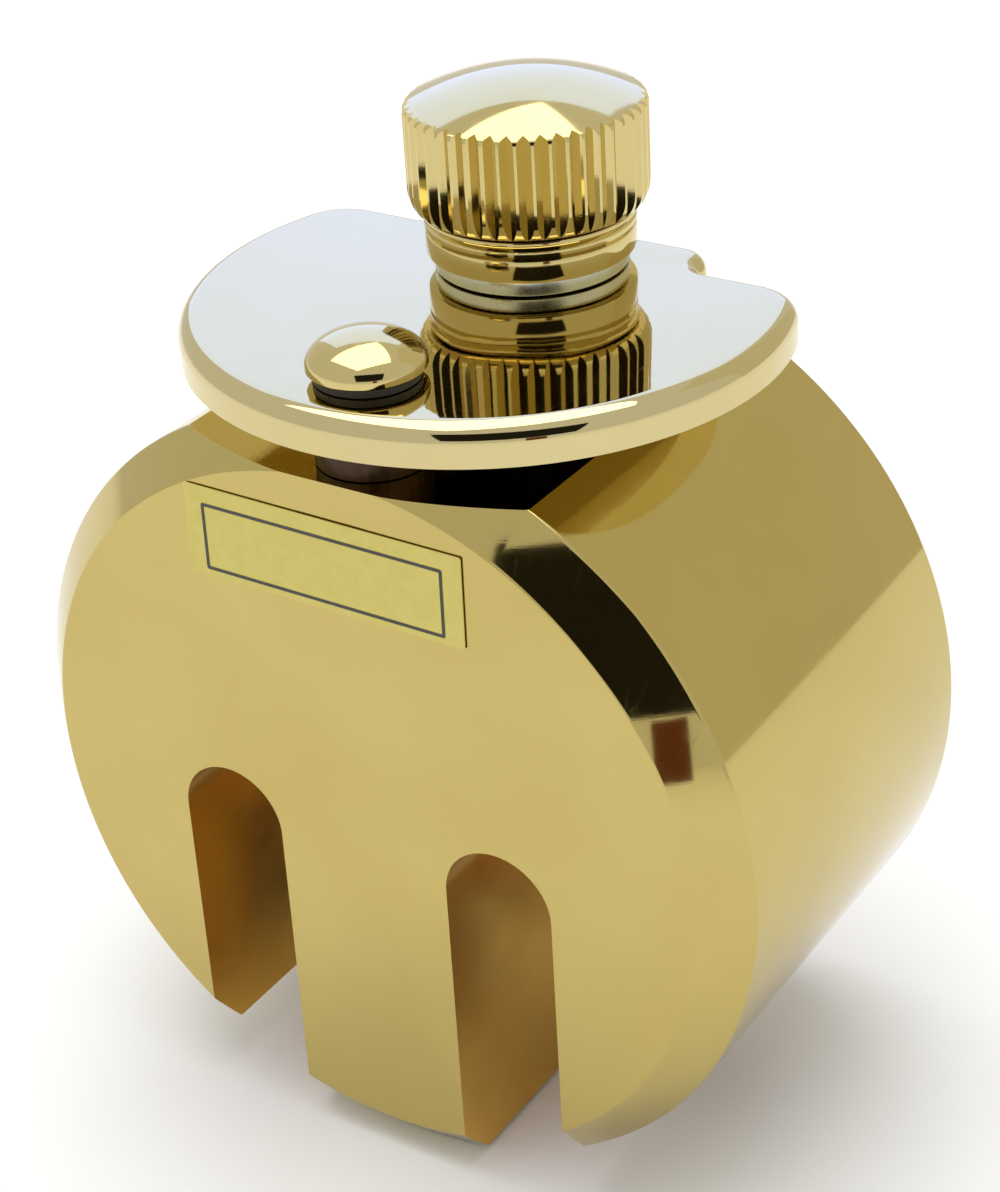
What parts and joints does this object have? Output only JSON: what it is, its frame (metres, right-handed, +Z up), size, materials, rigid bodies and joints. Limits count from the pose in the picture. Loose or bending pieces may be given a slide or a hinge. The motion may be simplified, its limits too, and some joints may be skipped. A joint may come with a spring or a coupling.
{
  "type": "cello practice mute",
  "caption": "Round gold-plated brass cello practice mute with string notches, a bridge slot, a polished top plate, a dome-head pin and a fluted thumb knob.",
  "frame": {"origin": "on the surface that the mute stands on, at the middle of its outline seen from above", "axes": "+Z up along the stud, -Y out of the front face that carries the blank sticker, +X to the right as seen from the front"},
  "size_m": [0.0426, 0.0272, 0.0539],
  "materials": {
    "gold_plate": "polished",
    "gold_plate_top": "polished",
    "gold_knob": "polished",
    "steel": "satin",
    "black_washer": "matte",
    "brass": "satin",
    "rubber": "matte",
    "label_film": "satin"
  },
  "bodies": {
    "mute": {"mute_body": "gold_plate", "weight_plate": "gold_plate_top", "clamp_stud": "brass", "guide_pin": "gold_knob", "pin_washer": "black_washer", "pin_spacer": "brass", "stud_spacer": "brass", "slot_pad_front_left": "rubber", "slot_pad_front_middle": "rubber", "slot_pad_front_right": "rubber", "slot_pad_rear_left": "rubber", "slot_pad_rear_middle": "rubber", "slot_pad_rear_right": "rubber", "slot_pad_roof": "rubber", "front_label": "label_film"},
    "washer": {"knob_washer": "steel"},
    "knob": {"thumb_knob": "gold_knob"}
  },
  "joints": [
    {"name": "knob_turn", "type": "hinge", "parent": "mute", "child": "washer", "pos_m": [0, 0.00607, 0.04408], "axis": [0, 0, 1], "range_deg": [0, 1800]},
    {"name": "knob_rise", "type": "slide", "parent": "washer", "child": "knob", "axis": [0, 0, 1], "range_m": [0, 0.004]}
  ],
  "couplings": [
    {"joint": "knob_rise", "follows": "knob_turn", "m_per_rad": 0.00012732}
  ]
}
